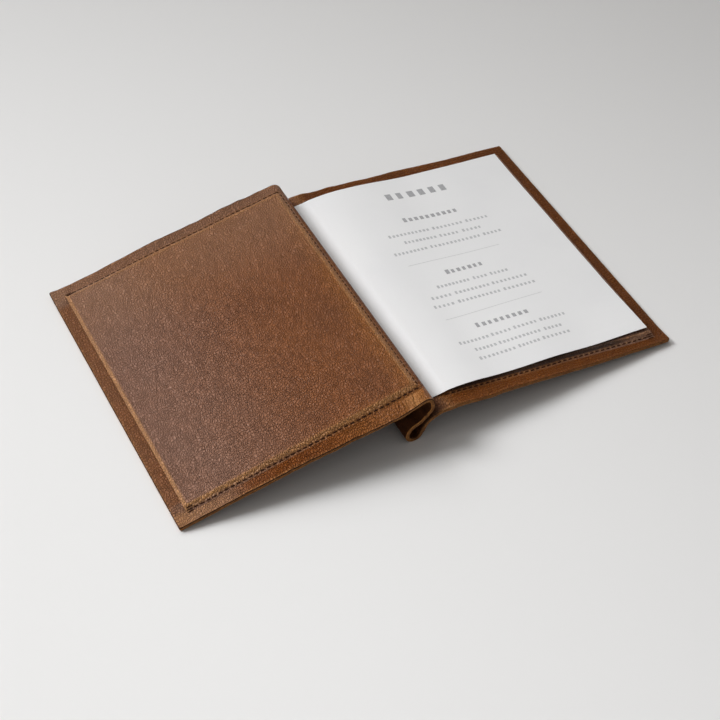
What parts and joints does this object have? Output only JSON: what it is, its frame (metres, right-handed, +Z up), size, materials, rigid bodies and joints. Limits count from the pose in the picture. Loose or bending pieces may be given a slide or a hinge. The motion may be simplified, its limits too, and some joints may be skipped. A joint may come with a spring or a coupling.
{
  "type": "menu cover",
  "caption": "Open leather menu cover with sewn pocket panels on both covers, an S-folded spine and a menu sheet laid over the right panel.",
  "frame": {"origin": "on the table, below the middle of the open folder", "axes": "+X from the left cover to the right cover, +Y from the tail to the head, +Z up from the table"},
  "size_m": [0.3698, 0.234, 0.039],
  "materials": {
    "cover_leather": "oiled",
    "pocket_leather": "waxed",
    "board": "matt",
    "thread": "waxed",
    "sheet": "matt"
  },
  "bodies": {
    "right_cover": {"right_cover_leather": "cover_leather", "right_pocket_panel": "pocket_leather", "right_board": "board", "right_head_seam": "thread", "right_spine_seam": "thread", "right_tail_seam": "thread", "right_bar_tacks": "thread", "spine_rise": "cover_leather"},
    "spine": {"spine_fold": "cover_leather"},
    "left_cover": {"left_cover_leather": "cover_leather", "left_pocket_panel": "pocket_leather", "left_board": "board", "left_head_seam": "thread", "left_spine_seam": "thread", "left_tail_seam": "thread", "left_bar_tacks": "thread", "spine_roll": "cover_leather"},
    "sheet": {"menu_sheet": "sheet", "menu_sheet_tuck": "sheet"}
  },
  "joints": [
    {"name": "spine_swing", "type": "hinge", "parent": "right_cover", "child": "spine", "pos_m": [-0.00068, 0, 0.018], "axis": [0, 1, 0], "range_deg": [0, 49.48], "deforming": ["spine_rise", "menu_sheet_tuck"]},
    {"name": "cover_fold", "type": "hinge", "parent": "spine", "child": "left_cover", "pos_m": [-0.00706, 0, 0.03304], "axis": [0, 1, 0], "range_deg": [0, 147.04], "deforming": ["spine_roll"]},
    {"name": "sheet_slide", "type": "slide", "parent": "right_cover", "child": "sheet", "axis": [0.9954, 0, -0.0954], "range_m": [0, 0.07], "deforming": ["menu_sheet_tuck"]}
  ],
  "couplings": [
    {"joint": "spine_swing", "follows": "cover_fold", "ratio": 0.33648}
  ]
}
